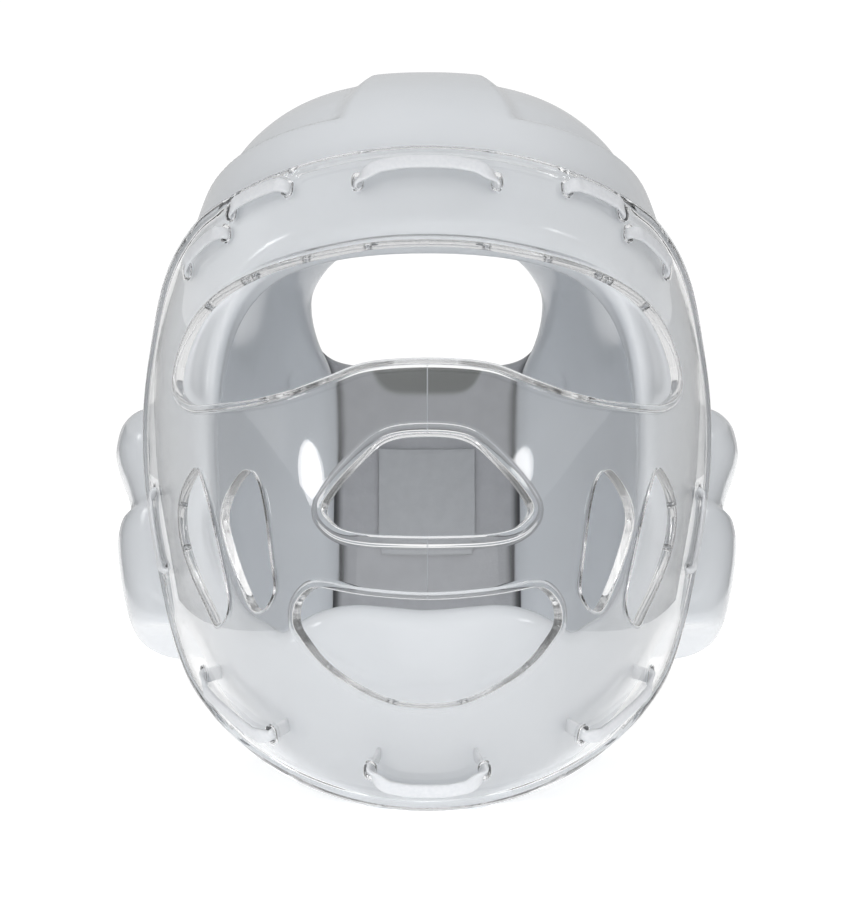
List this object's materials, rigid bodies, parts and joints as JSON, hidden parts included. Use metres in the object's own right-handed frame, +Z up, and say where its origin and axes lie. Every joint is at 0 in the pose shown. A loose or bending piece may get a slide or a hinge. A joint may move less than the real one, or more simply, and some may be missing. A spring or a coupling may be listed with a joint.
{
  "type": "karate headgear with face mask",
  "caption": "Dipped foam karate headgear with ear pads, chin guard and open rear, and a clear domed face mask with eye, nose, mouth and cheek openings tied to its rim by short straps.",
  "frame": {"origin": "centre of the bounding box on the floor the headgear rests on", "axes": "+X across the head to the right as seen from the front, -Y the way the face looks, +Z up; the headgear leans back by 17.1 degrees onto its chin and nape"},
  "size_m": [0.2106, 0.2914, 0.2315],
  "materials": {
    "foam": "smooth white dipped vinyl skin over foam",
    "mask": "clear glossy polycarbonate",
    "tie": "flat white strap",
    "flap": "plain grey flap",
    "label": "blank darker grey label"
  },
  "bodies": {
    "root": {"foam_shell": "foam", "face_mask": "mask", "tie_top": "tie", "tie_brow_left": "tie", "tie_brow_right": "tie", "tie_temple_left": "tie", "tie_temple_right": "tie", "tie_side_left": "tie", "tie_side_right": "tie", "tie_jaw_left": "tie", "tie_jaw_right": "tie", "tie_chin": "tie", "back_flap": "flap", "inner_label": "label"}
  },
  "joints": []
}
